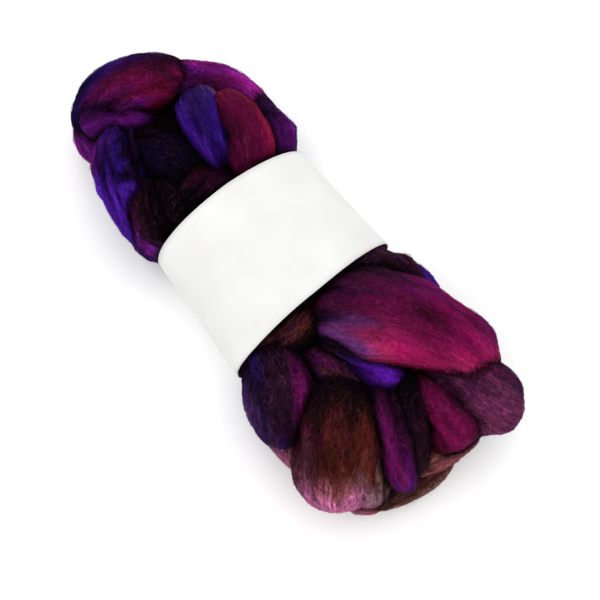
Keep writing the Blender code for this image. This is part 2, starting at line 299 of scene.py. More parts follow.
def spine(fold, t):
    # the middle of the section at t, with the directions across it and out of its face
    turn, start = math.radians(fold.turn), math.radians(fold.heading)
    here = start + turn * t / 2
    if turn == 0:
        aheadX, aheadY = math.cos(start) * fold.span * t / 2, math.sin(start) * fold.span * t / 2
    else:
        radius = fold.span / turn
        aheadX = (np.sin(here) - math.sin(start)) * radius
        aheadY = (math.cos(start) - np.cos(here)) * radius
    height = fold.top - fold.deep / 2 - fold.drop * np.abs(t) ** foldForm["dive"] + fold.tilt * t
    climb = fold.tilt - np.copysign(fold.drop * foldForm["dive"] * np.abs(t) ** (foldForm["dive"] - 1), t)
    along = unit(np.stack([np.cos(here), np.sin(here), 2 * climb / fold.span], -1))
    level = np.stack([-np.sin(here), np.cos(here), np.zeros_like(t)], -1)
    out = np.cross(along, level)
    lean = math.radians(fold.lean)
    across = level * math.cos(lean) - out * math.sin(lean)
    face = out * math.cos(lean) + level * math.sin(lean)
    return np.stack([fold.x + aheadX, fold.y + aheadY, height], -1), across, face


# The relief of a fold's skin, its heights and widths in mm, and how much painted shade and highlight
# it lays on the dye: paler where the relief stands up, darker in its clefts and dents.
relief = {
    "lumps": 6, "lump": 0.05, "lumpWaves": 1.6, "lumpPart": 2.2, "dents": 9, "dent": 0.45, "dentRun": 60,
    "dentRound": 0.8, "clefts": 6, "cleftDeep": 2.1, "cleftWide": 2.6, "cleftWander": 1.7, "ridges": 5,
    "ridge": 0.22, "ridgePitch": 3.4, "ridgeWander": 2.1, "lumpUnshaded": 0.6, "plain": 1.05,
    "paler": 0.22, "shades": (0.35, 1.4),
}
anyPhase = (0, 6.28)


def grain(fold):
    # the fold's own random numbers, the same in every run
    seed = sum((i + 1) * ord(letter) for i, letter in enumerate(fold.name))
    draw = np.random.default_rng(seed)
    return {
        "lumps": [(draw.integers(1, 4), draw.integers(0, 4), draw.uniform(*anyPhase),
                   draw.uniform(0.4, 1)) for _ in range(relief["lumps"])],
        "clefts": [(draw.uniform(0.1, 3.0), draw.uniform(-0.5, 0.5), draw.uniform(*anyPhase),
                    draw.uniform(0.3, 1), draw.uniform(-0.7, 0.7), draw.uniform(0.35, 0.9))
                   for _ in range(relief["clefts"])],
        "dents": [(draw.uniform(2.5, 7), draw.integers(2, 6), draw.uniform(*anyPhase),
                   draw.uniform(0.4, 1)) for _ in range(relief["dents"])],
        "ridges": [(draw.uniform(0.7, 1.5), draw.uniform(*anyPhase), draw.uniform(0.5, 3),
                    draw.uniform(0.4, 1)) for _ in range(relief["ridges"])],
        "twist": draw.uniform(-0.5, 0.5),
        "seed": seed,
    }


def girth(fold):
    return math.pi * (fold.wide + fold.deep) / 2


def surface(fold, t, angle):
    # points of the fold's skin in mm, their outward direction and how high they stand in the relief
    own = owns[fold.name]
    middle, across, face = spine(fold, t)
    fullness = np.sqrt(np.clip(1 - np.abs(t) ** foldForm["bluntness"], 0, 1))
    halfWidth = fold.wide / 2 * (1 + fold.flare * t) * fullness
    halfDepth = fold.deep / 2 * fullness
    sideways, outwards = fullCircle(angle, foldForm["fullness"])
    turned = angle + own["twist"] * t
    lift = np.zeros_like(t)
    for waves, rounds, phase, size in own["lumps"]:
        lift += size * np.sin(waves * relief["lumpWaves"] * t + rounds * angle + phase)
    lift *= relief["lump"] * min(fold.wide, fold.deep) / relief["lumpPart"]
    broad = lift.copy()
    for waves, rounds, phase, size in own["dents"]:
        onward = np.sin(waves * t * fold.span / relief["dentRun"] + rounds * angle + phase)
        lift += relief["dent"] * size * onward * np.sin(waves * relief["dentRound"] * angle + phase)
    around = girth(fold) / (2 * math.pi)
    for place, drift, phase, deep, centre, reach in own["clefts"]:
        wander = drift * np.sin(relief["cleftWander"] * t + phase)
        away = np.angle(np.exp(1j * (turned - place - wander))) * around
        share = np.exp(-((t - centre) / reach) ** 2)
        lift -= relief["cleftDeep"] * deep * share * np.exp(-(away / relief["cleftWide"]) ** 2)
    rounds = girth(fold) / relief["ridgePitch"]
    for pace, phase, wander, size in own["ridges"]:
        bent = wander * np.sin(relief["ridgeWander"] * t + phase)
        lift += relief["ridge"] * size * np.sin(round(rounds * pace) * turned + phase + bent)
    lift *= fullness
    sideShare, faceShare = np.cos(angle) / fold.wide, np.sin(angle) / fold.deep
    outward = unit(across * sideShare[..., None] + face * faceShare[..., None])
    points = middle + across * (halfWidth * sideways)[..., None] + face * (halfDepth * outwards)[..., None]
    return points + outward * lift[..., None], outward, lift - relief["lumpUnshaded"] * broad


# How the band and the table press the wool, in mm.
squeeze = {"clear": 1.6, "bulge": 0.010, "bulgeFrom": 0.5, "bulgePower": 1.2, "settle": 4.0,
           "margin": 1, "floor": (0.9, 0.15)}


def pressed(points):
    x, y, z = points[..., 0], points[..., 1], points[..., 2]
    share = np.clip((x - band["far"]) / (band["near"] - band["far"]), 0, 1)
    halfWidth = bandHalf("halfWidth", share) - squeeze["clear"]
    halfHeight = bandHalf("halfHeight", share) - squeeze["clear"]
    middleZ = halfHeight + squeeze["clear"] - band["sink"]
    outside = np.maximum(np.maximum(band["far"] - x, x - band["near"]), 0)
    limit = 1 + squeeze["bulge"] * np.maximum(outside - squeeze["bulgeFrom"], 0) ** squeeze["bulgePower"]
    power = band["squareness"]
    sideShare, upShare = np.abs((y - band["middleY"]) / halfWidth), np.abs((z - middleZ) / halfHeight)
    reach = (sideShare ** power + upShare ** power) ** (1 / power)
    shrink = np.where(reach > limit, limit / np.maximum(reach, 1e-6), 1.0)
    y = band["middleY"] + (y - band["middleY"]) * shrink
    z = middleZ + (z - middleZ) * shrink
    soft = squeeze["settle"]
    underBand = (x > band["far"] - squeeze["margin"]) & (x < band["near"] + squeeze["margin"])
    floor = np.where(underBand, *squeeze["floor"])
    z = np.where(z < soft, floor + (soft - floor) * np.exp(np.minimum(z - soft, 0) / soft), z)
    return np.stack([x, y, z], -1)


def placed(points):
    return (points + np.array([*foldForm["shift"], 0])) * mm


# The dye runs in streaks that follow the fibres, so its borders are ragged.
dyeForm = {"streaks": 9, "raggedAlong": 0.10, "raggedAcross": 0.07, "sway": 0.10, "across": 1.15,
           "borders": (0.15, 0.85)}


def dyeAt(fold, t, angle):
    rows, own = dyeing[fold.name], owns[fold.name]
    turned = angle + own["twist"] * t
    streak = np.zeros_like(t)
    for pace, phase, wander, size in own["ridges"]:
        streak += size * np.sin(round(dyeForm["streaks"] * pace) * turned + phase * 2 + wander * t)
    along = np.clip(t + dyeForm["raggedAlong"] * streak, -1, 1)
    side = np.cos(angle + math.radians(dyeTurn.get(fold.name, 0)))
    sway = dyeForm["sway"] * np.sin(3 * t + own["seed"])
    acrossPlace = np.clip(side * dyeForm["across"] + dyeForm["raggedAcross"] * streak + sway, -1, 1)
    stops = np.array([stop for stop, _ in rows])
    names = [(shades.split() * 3)[:3] for _, shades in rows]
    colours = np.array([[linearDyes[name] for name in three] for three in names]) ** 0.5
    upto = np.clip(np.searchsorted(stops, along, side="right"), 1, len(rows) - 1)
    share = smoothStep(0, 1, (along - stops[upto - 1]) / (stops[upto] - stops[upto - 1]))[..., None]
    three = colours[upto - 1] * (1 - share[..., None]) + colours[upto] * share[..., None]
    left = smoothStep(*dyeForm["borders"], acrossPlace)[..., None]
    right = smoothStep(*dyeForm["borders"], -acrossPlace)[..., None]
    mixed = three[..., 1, :] * (1 - left - right) + three[..., 2, :] * left + three[..., 0, :] * right
    return mixed ** 2


# A coarse net over a whole fold keeps this angle from its two tips.
poleGap = 0.06


def netOf(rings, sides):
    t = -np.cos(np.linspace(poleGap, math.pi - poleGap, rings))
    angle = np.arange(sides) / sides * 2 * math.pi
    grid = np.meshgrid(t, angle, indexing="ij")
    faces = [(ring * sides + side, ring * sides + (side + 1) % sides,
              (ring + 1) * sides + (side + 1) % sides, (ring + 1) * sides + side)
             for ring in range(rings - 1) for side in range(sides)]
    faces += [tuple(range(sides))[::-1], tuple(range((rings - 1) * sides, rings * sides))]
    return grid[0].ravel(), grid[1].ravel(), faces


# Where two folds meet, each swells towards the other, takes a little of its dye and is darkened
# as painted shade towards the crease. A pair that makes one lobe is left out of this.
oneLobe = ({"brownFan", "greySide"}, {"violetOver", "crimsonOver"})
meeting = {"rings": 26, "sides": 30, "reach": 9.0, "dyeReach": 2.0, "dyeShare": 0.5, "swell": 1.3,
           "paintedCreaseShade": 0.92, "paintedCreaseReach": (-1, 6.0)}


def findNeighbours(folds):
    t, angle, faces = netOf(meeting["rings"], meeting["sides"])
    skins = {}
    for fold in folds:
        skin = surface(fold, t, angle)[0]
        colour = dyeAt(fold, t, angle)
        shades = np.array([colour[list(face)].mean(0) for face in faces])
        skins[fold.name] = (skin, skin.min(0) - meeting["reach"], skin.max(0) + meeting["reach"], shades)
    found = {}
    for fold in folds:
        _, lowest, highest, _ = skins[fold.name]
        points, sides, shades = [], [], []
        for other in folds:
            skin, otherLow, otherHigh, otherShades = skins[other.name]
            joined = any({fold.name, other.name} <= pair for pair in oneLobe)
            if other is fold or joined or (otherLow > highest).any() or (otherHigh < lowest).any():
                continue
            sides += [tuple(i + len(points) for i in face) for face in faces]
            points += [tuple(place) for place in skin]
            shades.append(otherShades)
        found[fold.name] = (BVHTree.FromPolygons(points, sides), np.concatenate(shades))
    return found


def skinAt(fold, t, angle):
    # the finished skin in mm, its outward direction and its dye with painted shade and highlight
    skin, outward, lift = surface(fold, t, angle)
    tree, shades = neighbours[fold.name]
    reach = meeting["reach"]
    away, theirs, which = np.full(len(skin), reach), np.zeros_like(skin), np.full(len(skin), -1)
    for i, place in enumerate(skin):
        spot, normal, face, distance = tree.find_nearest(Vector(place), reach)
        if spot is not None:
            gapX, gapY, gapZ = place[0] - spot.x, place[1] - spot.y, place[2] - spot.z
            inside = gapX * normal.x + gapY * normal.y + gapZ * normal.z < 0
            away[i], theirs[i], which[i] = (-distance if inside else distance), normal, face
    close = np.clip(1 - away / reach, 0, 1)
    skin = skin + unit(outward + theirs * close[:, None]) * (meeting["swell"] * close * close)[:, None]
    # painted shade: darker towards the crease where the skin meets another fold
    paintedCreaseShade = 1 - meeting["paintedCreaseShade"] * (1 - smoothStep(*meeting["paintedCreaseReach"], away))
    # painted shade and highlight from the relief: paler on lumps, darker in clefts and dents
    tone = np.clip(relief["plain"] + relief["paler"] * lift, *relief["shades"])
    shade = dyeAt(fold, t, angle) * tone[:, None]
    near = smoothStep(0, 1, 1 - away / meeting["dyeReach"])
    borrowed = meeting["dyeShare"] * near[:, None] * (which >= 0)[:, None]
    shade = (shade * (1 - borrowed) + shades[which] * borrowed) * paintedCreaseShade[:, None]
    return pressed(skin), outward, shade


# How open each place of a fold is, from rays sent out of a coarse net on it; the wool and its fibres
# are darkened by it as painted shade in crevices.
exposure = {"rings": 15, "sides": 20, "rays": 22, "seed": 5, "reach": 0.040, "lift": 0.9, "outward": 1.15}


def measureOpenness(folds):
    t, angle, faces = netOf(exposure["rings"], exposure["sides"])
    points, sides, starts = [], [], []
    for fold in folds:
        skin, outward, _ = surface(fold, t, angle)
        starts.append((placed(pressed(skin + outward * exposure["lift"])), outward))
        sides += [tuple(i + len(points) for i in face) for face in faces]
        points += [tuple(place) for place in placed(pressed(skin))]
    tree = BVHTree.FromPolygons(points, sides)
    draw = np.random.default_rng(exposure["seed"])
    rays = unit(draw.normal(size=(exposure["rays"], 3)))
    found = {}
    for fold, (places, outward) in zip(folds, starts):
        values = np.zeros(len(places))
        for i, (place, out) in enumerate(zip(places, outward)):
            ways = unit(rays + out * exposure["outward"])
            hits = [tree.ray_cast(Vector(place), Vector(way), exposure["reach"])[0] for way in ways]
            values[i] = hits.count(None) / len(rays)
        found[fold.name] = values.reshape(exposure["rings"], exposure["sides"])
    return found


def opennessAt(fold, t, angle):
    # read the fold's coarse net between its knots
    net = nets[fold.name]
    rings, sides = net.shape
    fromPole = (np.arccos(np.clip(-t, -1, 1)) - poleGap) / (math.pi - 2 * poleGap)
    row = np.clip(fromPole * (rings - 1), 0, rings - 1.001)
    column = (angle % (2 * math.pi)) / (2 * math.pi) * sides
    ring, side = row.astype(int), column.astype(int) % sides
    down, over = row - ring, column - column.astype(int)
    nextSide = (side + 1) % sides
    top = net[ring, side] * (1 - over) + net[ring, nextSide] * over
    low = net[ring + 1, side] * (1 - over) + net[ring + 1, nextSide] * over
    return top * (1 - down) + low * down


def setInputs(node, values):
    for name, value in values.items():
        node.inputs[name].default_value = value


def link(source, output, target, into):
    source.id_data.links.new(source.outputs[output], target.inputs[into])


def newMaterial(name, settings):
    made = bpy.data.materials.new(name)
    made.use_nodes = True
    shader = made.node_tree.nodes["Principled BSDF"]
    setInputs(shader, settings)
    return made, shader


# Shared effect: the combed fibres, as fine streaks and creases along each fold, with painted shade
# where the wool is closed in and painted sheen on its pale curls. Each noise has its stretch, detail,
# roughness and swirl.
combed = {
    "crimp": {"Scale": 26, "Detail": 2}, "crimpShake": (0, 0.030, 0), "noiseMiddle": 0.5,
    "hairs": ((14, 170, 1), 3.0), "locks": ((5, 36, 1), 2.0), "felt": ((70, 90, 1), 4.0, 0.75),
    "fine": ((130, 210, 1), 2.0, 0.8), "tufts": ((17, 28, 1), 3.0, 0.65, 1.8), "curlDetail": 1.5,
    "curls": (((9, 24, 1), 64, 0.86), ((8, 13, 1), 36, 0.8), ((26, 30, 1), 50, 0.9)),
    "hairsAndLocks": (0.5, 0.5), "withFelt": (0.65, 0.35), "fineShare": 0.5, "swing": 5.0, "darkest": 0.15,
    "tuftSwing": 6.0, "darkestTuft": 0.2, "curlsAnyway": 0.35, "curlBright": 1.3,
    "paintedOcclusionRamp": {"From Min": 0.08, "From Max": 0.88, "To Min": 0.02, "To Max": 1.25},
    "paintedCurlSheen": (0.018, 0.006, 0.012), "roughness": (0.68, 0.25),
}


def combedFibres(spec):
    group = bpy.data.node_groups.new("combedFibres", "ShaderNodeTree")
    for name, kind in (("Run", "Vector"), ("Dye", "Color"), ("Openness", "Float"), ("Fluff", "Float"),
                       ("Contrast", "Float")):
        group.interface.new_socket(name=name, in_out="INPUT", socket_type="NodeSocket" + kind)
    for name, kind in (("Colour", "Color"), ("Height", "Float"), ("Roughness", "Float")):
        group.interface.new_socket(name=name, in_out="OUTPUT", socket_type="NodeSocket" + kind)
    nodes, links = group.nodes, group.links
    into, out = nodes.new("NodeGroupInput"), nodes.new("NodeGroupOutput")
    run, dye, openness, fluff, contrast = into.outputs[:5]

    def fed(kind, operation, values):
        made = nodes.new(kind)
        made.operation = operation
        for spot, value in values.items():
            if isinstance(value, bpy.types.NodeSocket):
                links.new(value, made.inputs[spot])
            else:
                made.inputs[spot].default_value = value
        return made.outputs[0]

    def maths(operation, first, second):
        return fed("ShaderNodeMath", operation, {0: first, 1: second})

    def vectorMaths(operation, values):
        return fed("ShaderNodeVectorMath", operation, values)

    def weighed(first, second, weights):
        return maths("ADD", maths("MULTIPLY", first, weights[0]), maths("MULTIPLY", second, weights[1]))

    def noise(stretch, detail, roughness=0.6, swirl=0.0):
        squash = nodes.new("ShaderNodeMapping")
        setInputs(squash, {"Scale": stretch})
        made = nodes.new("ShaderNodeTexNoise")
        setInputs(made, {"Scale": 1.0, "Detail": detail, "Roughness": roughness, "Distortion": swirl})
        links.new(shaken, squash.inputs["Vector"])
        link(squash, "Vector", made, "Vector")
        return made.outputs["Fac"]

    def aroundMiddle(value):
        return maths("SUBTRACT", value, spec["noiseMiddle"])

    # the fibres' crimp: the run is shaken a little sideways before it is read
    crimp = nodes.new("ShaderNodeTexNoise")
    setInputs(crimp, spec["crimp"])
    links.new(run, crimp.inputs["Vector"])
    shaken = vectorMaths("MULTIPLY_ADD", {0: crimp.outputs["Color"], 1: spec["crimpShake"], 2: run})

    felt = noise(*spec["felt"])
    both = weighed(noise(*spec["hairs"]), noise(*spec["locks"]), spec["hairsAndLocks"])
    both = weighed(both, felt, spec["withFelt"])
    fine = maths("MULTIPLY", aroundMiddle(noise(*spec["fine"])), spec["fineShare"])
    grainy = maths("ADD", both, fine)
    # single pale fibres: thin lines of equal height on a slow noise
    curls = None
    for stretch, lines, width in spec["curls"]:
        waves = maths("SINE", maths("MULTIPLY", noise(stretch, spec["curlDetail"]), lines), 0)
        thin = maths("MAXIMUM", maths("SUBTRACT", waves, width), 0)
        thin = maths("MULTIPLY", maths("MULTIPLY", thin, 1 / (1 - width)), felt)
        curls = thin if curls is None else maths("ADD", curls, thin)
    swing = maths("MULTIPLY", aroundMiddle(grainy), maths("MULTIPLY", contrast, spec["swing"]))
    bright = maths("MAXIMUM", maths("ADD", swing, 1.0), spec["darkest"])
    # wisps: swirled tufts where the wool is loose
    tufts = maths("MULTIPLY", aroundMiddle(noise(*spec["tufts"])), fluff)
    tufts = maths("ADD", maths("MULTIPLY", tufts, spec["tuftSwing"]), 1.0)
    bright = maths("MULTIPLY", bright, maths("MAXIMUM", tufts, spec["darkestTuft"]))
    curls = maths("MULTIPLY", curls, maths("ADD", fluff, spec["curlsAnyway"]))
    glow = maths("MULTIPLY", curls, maths("MULTIPLY", contrast, spec["curlBright"]))
    bright = maths("ADD", bright, glow)
    # painted shade: the dye is darkened where the wool is closed in, to near black in deep crevices
    ramp = nodes.new("ShaderNodeMapRange")
    ramp.interpolation_type = "SMOOTHSTEP"
    setInputs(ramp, spec["paintedOcclusionRamp"])
    links.new(openness, ramp.inputs["Value"])
    paintedOcclusion = ramp.outputs["Result"]
    tone = vectorMaths("SCALE", {0: dye, "Scale": maths("MULTIPLY", bright, paintedOcclusion)})
    # painted sheen: a pale pink glow on the curls, only where the wool is open
    paintedCurlSheen = vectorMaths("SCALE", {0: spec["paintedCurlSheen"], "Scale": maths("MULTIPLY", curls, paintedOcclusion)})
    links.new(vectorMaths("ADD", {0: tone, 1: paintedCurlSheen}), out.inputs["Colour"])
    links.new(both, out.inputs["Height"])
    least, more = spec["roughness"]
    links.new(maths("ADD", maths("MULTIPLY", both, more), least), out.inputs["Roughness"])
    return group


fibreEffect = combedFibres(combed)


def attribute(nodes, name):
    made = nodes.new("ShaderNodeAttribute")
    made.attribute_type = "GEOMETRY"
    made.attribute_name = name
    return made


combedLook = {
    "contrast": 0.75, "raised": {"Strength": 0.7, "Distance": 0.0012},
    "shader": {"Specular IOR Level": 0.02, "Sheen Weight": 0.02, "Sheen Roughness": 0.5,
               "Sheen Tint": (0.75, 0.22, 0.55, 1)},
}
looseLook = {"Roughness": 0.6, "Specular IOR Level": 0.03}


def woolMaterial(name, look):
    made, shader = newMaterial(name, look["shader"])
    nodes = made.node_tree.nodes
    effect = nodes.new("ShaderNodeGroup")
    effect.node_tree = fibreEffect
    effect.inputs["Contrast"].default_value = look["contrast"]
    run = nodes.new("ShaderNodeUVMap")
    run.uv_map = "fibre"
    link(run, "UV", effect, "Run")
    link(attribute(nodes, "dye"), "Color", effect, "Dye")
    link(attribute(nodes, "openness"), "Fac", effect, "Openness")
    link(attribute(nodes, "fluff"), "Fac", effect, "Fluff")
    link(effect, "Colour", shader, "Base Color")
    link(effect, "Roughness", shader, "Roughness")
    raised = nodes.new("ShaderNodeBump")
    setInputs(raised, look["raised"])
    link(effect, "Height", raised, "Height")
    link(raised, "Normal", shader, "Normal")
    return made


def fuzzMaterial(name, look):
    made, shader = newMaterial(name, look)
    link(attribute(made.node_tree.nodes, "dye"), "Color", shader, "Base Color")
    return made


combedWool = woolMaterial("combedWool", combedLook)
looseFibre = fuzzMaterial("looseFibre", looseLook)


# the mesh's colour carries the dye with its painted shade and highlight
def newAttributes(mesh, dye, **values):
    colour = mesh.color_attributes.new("dye", "FLOAT_COLOR", "POINT")
    colour.data.foreach_set("color", np.column_stack([dye, np.ones(len(dye))]).astype(np.float32).ravel())
    for name, value in values.items():
        made = mesh.attributes.new(name, "FLOAT", "POINT")
        made.data.foreach_set("value", np.broadcast_to(value, len(dye)).astype(np.float32))


def vertices(mesh):
    places = np.empty(len(mesh.vertices) * 3)
    mesh.vertices.foreach_get("co", places)
    return places.reshape(-1, 3)


def corners(mesh):
    index = np.empty(len(mesh.loops), int)
    mesh.loops.foreach_get("vertex_index", index)
    return index


# The mesh of a fold; the run, in units of 100 mm, tells the fibres' streaks where they are.
foldMesh = {"segments": (16, 128), "rings": (12, 96), "runUnit": 100, "runShifts": 17, "chartGap": 0.01}


def addFold(fold, facet, cell):
    # a sphere drawn out along the fold; its seam is turned underneath
    own = owns[fold.name]
    segments = int(np.clip(girth(fold) / facet, *foldMesh["segments"]))
    rings = int(np.clip(fold.span / facet, *foldMesh["rings"]))
    bpy.ops.mesh.primitive_uv_sphere_add(segments=segments, ring_count=rings, radius=1)
    made = bpy.context.object
    made.name = fold.name
    mesh = made.data
    uv = np.empty(len(mesh.loops) * 2)
    mesh.uv_layers[0].data.foreach_get("uv", uv)
    uv = uv.reshape(-1, 2)
    t = np.clip(vertices(mesh)[:, 2], -1, 1)
    angle = np.zeros(len(t))
    angle[corners(mesh)] = uv[:, 0] * 2 * math.pi - math.pi / 2
    points, _, shade = skinAt(fold, t, angle)
    mesh.vertices.foreach_set("co", placed(points).ravel())
    fluff = fluffy.get(fold.name, plainFluff)
    newAttributes(mesh, shade, openness=opennessAt(fold, t, angle), fluff=fluff)
    cornerT = -np.cos(np.clip(uv[:, 1], 0, 1) * math.pi)
    cornerTurn = uv[:, 0] * 2 * math.pi + own["twist"] * cornerT
    run = np.empty_like(uv)
    run[:, 0] = cornerT * fold.span / 2 / foldMesh["runUnit"] + own["seed"] % foldMesh["runShifts"]
    run[:, 1] = cornerTurn * girth(fold) / (2 * math.pi) / foldMesh["runUnit"]
    mesh.uv_layers[0].name = "fibre"
    mesh.uv_layers[0].data.foreach_set("uv", run.ravel())
    chart = mesh.uv_layers.new(name="OFBake")
    (low, size), gap = cell, foldMesh["chartGap"]
    chart.data.foreach_set("uv", (np.array(low) + gap + uv * (size - 2 * gap)).ravel())
    bpy.ops.object.shade_smooth()
    return made


def joinAll(objects, name):
    bpy.ops.object.select_all(action="DESELECT")
    for each in objects:
        each.select_set(True)
    bpy.context.view_layer.objects.active = objects[0]
    bpy.ops.object.join()
    made = bpy.context.object
    made.name = made.data.name = name
    return made


def cells(count):
    side = math.ceil(math.sqrt(count))
    return [((i % side / side, i // side / side), 1 / side) for i in range(count)]


def woolPiece(name, folds, facet):
    parts = [addFold(fold, facet, cell) for fold, cell in zip(folds, cells(len(folds)))]
    made = joinAll(parts, name)
    made.data.materials.clear()
    made.data.materials.append(combedWool)
    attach(made, "root")
    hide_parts("roving")
    print(name, "made:", len(made.data.polygons), "faces")


# Loose fibres: one three-sided fibre is copied, and each copy is drawn out along its own path. A pair
# under turn or bend is for stray fibres and for combed ones; fly is for those that stand far off.
fuzz = {
    "perSquareMm": 0.6, "skinShare": 0.8, "most": 11000, "seed": 101, "length": (3.5, 10),
    "thick": (0.08, 0.22), "within": 0.95, "ends": 0.985, "knots": 5, "seen": (0.04, 0.4),
    "stray": 0.65, "turn": (1.0, 0.22), "bend": (1.1, 0.3), "lift": (0.1, 0.7), "endLift": (-0.6, 0.3),
    "fly": 0.05, "flyLift": (0.4, 1.3), "flyEndLift": (0.2, 1.0), "flyThick": 0.5, "flySheen": 0.5,
    "endShare": 0.9, "rootDeep": 0.4, "floor": 0.25, "offBand": 1.5, "shortest": 0.3,
    "paler": (1.1, 2.8), "seenShare": (0.2, 0.8), "paintedSheen": (0.052, 0.023, 0.030), "bright": (0, 0.05),
    "looseShare": 0.7, "looseLess": 0.3,
    "sides": 3, "profile": (0.0, 1.0, 1.05, 0.9, 0.0), "notAlong": (0.13, 0.21, 0.97),
}


def fibrePaths(fold, count, paintedSheen, draw):
    twist = owns[fold.name]["twist"]
    t = draw.uniform(-fuzz["within"], fuzz["within"], count)
    angle = draw.uniform(-math.pi, math.pi, count)
    seen = opennessAt(fold, t, angle)
    keep = draw.uniform(size=count) < smoothStep(*fuzz["seen"], seen)
    t, angle, seen = t[keep], angle[keep], seen[keep]
    count = len(t)
    length = draw.uniform(*fuzz["length"], count)
    stray = draw.uniform(size=count) < fuzz["stray"]
    turn = np.where(stray, *[draw.normal(0, size, count) for size in fuzz["turn"]])
    bend = np.where(stray, *[draw.normal(0, size, count) for size in fuzz["bend"]])
    flies = draw.uniform(size=count) < fuzz["fly"]
    lift = np.where(flies, draw.uniform(*fuzz["flyLift"], count), draw.uniform(*fuzz["lift"], count))
    endLift = np.where(flies, draw.uniform(*fuzz["flyEndLift"], count), draw.uniform(*fuzz["endLift"], count))
    around = girth(fold) / (2 * math.pi)
    knots = fuzz["knots"]
    step = length / (knots - 1)
    places = []
    for knot in range(knots):
        skin, outward, shade = skinAt(fold, t, angle)
        if knot == 0:
            root = shade
        share = knot / (knots - 1)
        arch = np.sin(math.pi * share) * lift + share * endLift * lift * fuzz["endShare"]
        arch = arch - (knot == 0) * fuzz["rootDeep"]
        places.append(skin + outward * arch[:, None])
        t = np.clip(t + step * np.cos(turn) / (fold.span / 2), -fuzz["ends"], fuzz["ends"])
        angle = angle + step * np.sin(turn) / around - twist * step * np.cos(turn) / (fold.span / 2)
        turn = turn + bend
    paths = np.stack(places, 1)
    paths[..., 2] = np.maximum(paths[..., 2], fuzz["floor"])
    x, off = paths[..., 0], fuzz["offBand"]
    inBand = ((x > band["far"] - off) & (x < band["near"] + off)).any(1)
    ok = ~inBand & (np.linalg.norm(np.diff(paths, axis=1), axis=2).min(1) > fuzz["shortest"])
    strength = draw.uniform(*fuzz["paler"], count)[:, None]
    # painted sheen: a pale pink on some fibres, more where the wool is open, and on every fibre that stands
    # far off
    sheenShare = paintedSheen * draw.uniform(size=count)[:, None] ** 3 * seen[:, None] ** 1.5
    loose = fuzz["looseShare"] * fluffy.get(fold.name, plainFluff) - fuzz["looseLess"]
    caught = np.maximum(smoothStep(*fuzz["bright"], root.max(1)), loose)
    sheenShare = sheenShare * caught[:, None] + fuzz["flySheen"] * flies[:, None]
    # painted shade: the fibre is dimmed where the wool is closed in; its painted sheen is added on top
    hidden, shown = fuzz["seenShare"]
    pale = root * strength * (hidden + shown * seen[:, None]) + np.array(fuzz["paintedSheen"]) * sheenShare
    thick = draw.uniform(*fuzz["thick"], count) * np.where(flies, fuzz["flyThick"], 1.0)
    return paths[ok], thick[ok], np.clip(pale, 0, 1)[ok]


def fuzzPiece(name, folds, density, paintedSheen):
    draw = np.random.default_rng(len(name) * fuzz["seed"])
    found = []
    for fold in folds:
        count = int(girth(fold) * fold.span * fuzz["skinShare"] * fuzz["perSquareMm"] * density)
        found.append(fibrePaths(fold, count, paintedSheen, draw))
    paths, thick, shades = (np.concatenate(part) for part in zip(*found))
    chosen = np.sort(draw.permutation(len(paths))[:fuzz["most"]])
    paths, thick, shades = paths[chosen], thick[chosen], shades[chosen]
    bpy.ops.object.select_all(action="DESELECT")
    rings = len(fuzz["profile"]) - 1
    bpy.ops.mesh.primitive_uv_sphere_add(segments=fuzz["sides"], ring_count=rings, radius=1)
    made = bpy.context.object
    mesh = made.data
    made.name = mesh.name = name
    shape = vertices(mesh)
    ring = np.round(np.arccos(np.clip(-shape[:, 2], -1, 1)) / (math.pi / rings)).astype(int)
    side = np.arctan2(shape[:, 1], shape[:, 0])
    copies = made.modifiers.new("copies", "ARRAY")
    copies.count = len(paths)
    copies.use_relative_offset = False
    bpy.ops.object.modifier_apply(modifier="copies")
    mesh = made.data
    ahead = unit(np.gradient(paths, axis=1))
    level = unit(np.cross(ahead, np.array(fuzz["notAlong"])))
    rise = np.cross(ahead, level)
    radius = thick[:, None] / 2 * np.array(fuzz["profile"])[None, ring]
    level, rise = level[:, ring] * np.cos(side)[None, :, None], rise[:, ring] * np.sin(side)[None, :, None]
    points = paths[:, ring] + (level + rise) * radius[..., None]
    mesh.vertices.foreach_set("co", placed(points).ravel())
    newAttributes(mesh, np.repeat(shades, len(ring), axis=0))
    number, place = np.divmod(corners(mesh), len(ring))
    # each fibre has a little field of its own in the chart
    grid = math.ceil(math.sqrt(len(paths)))
    spotX = number % grid + 0.3 + 0.1 * ring[place]
    spotY = number // grid + 0.5 + 0.2 * np.cos(side[place])
    mesh.uv_layers[0].name = "OFBake"
    mesh.uv_layers[0].data.foreach_set("uv", (np.stack([spotX, spotY], -1) / grid).ravel())
    bpy.ops.object.shade_smooth()
    mesh.materials.append(looseFibre)
    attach(made, "root")
    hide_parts("roving")
    print(name, "made:", len(paths), "fibres")


far = [Fold(*row) for row in farFolds]
near = [Fold(*row) for row in nearFolds]
inner = [Fold(*row) for row in innerFolds]
low = lowFolds(lowRows)
everyFold = far + near + inner + low
owns = {fold.name: grain(fold) for fold in everyFold}
nets = measureOpenness(everyFold)
print("openness measured")
neighbours = findNeighbours(everyFold)
print("neighbours found")

# Each piece of wool has its folds and how much coarser its mesh is, and each piece of fuzz its folds,
# how dense it is and how much painted sheen its fibres get.
woolPieces = {"woolFar": (far, 1), "woolNear": (near, 1), "woolLow": (low, 1.5), "woolHeart": (inner, 2)}
fuzzPieces = {"fuzzFar": (far, 1, 0.35), "fuzzNear": (near, 1, 1.0), "fuzzLow": (low, 0.5, 0.6)}
facet, amount = ((1.75, 1.0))
for name, (folds, coarser) in woolPieces.items():
    woolPiece(name, folds, facet * coarser)
for name, (folds, density, paintedSheen) in fuzzPieces.items():
    fuzzPiece(name, folds, amount * density, paintedSheen)


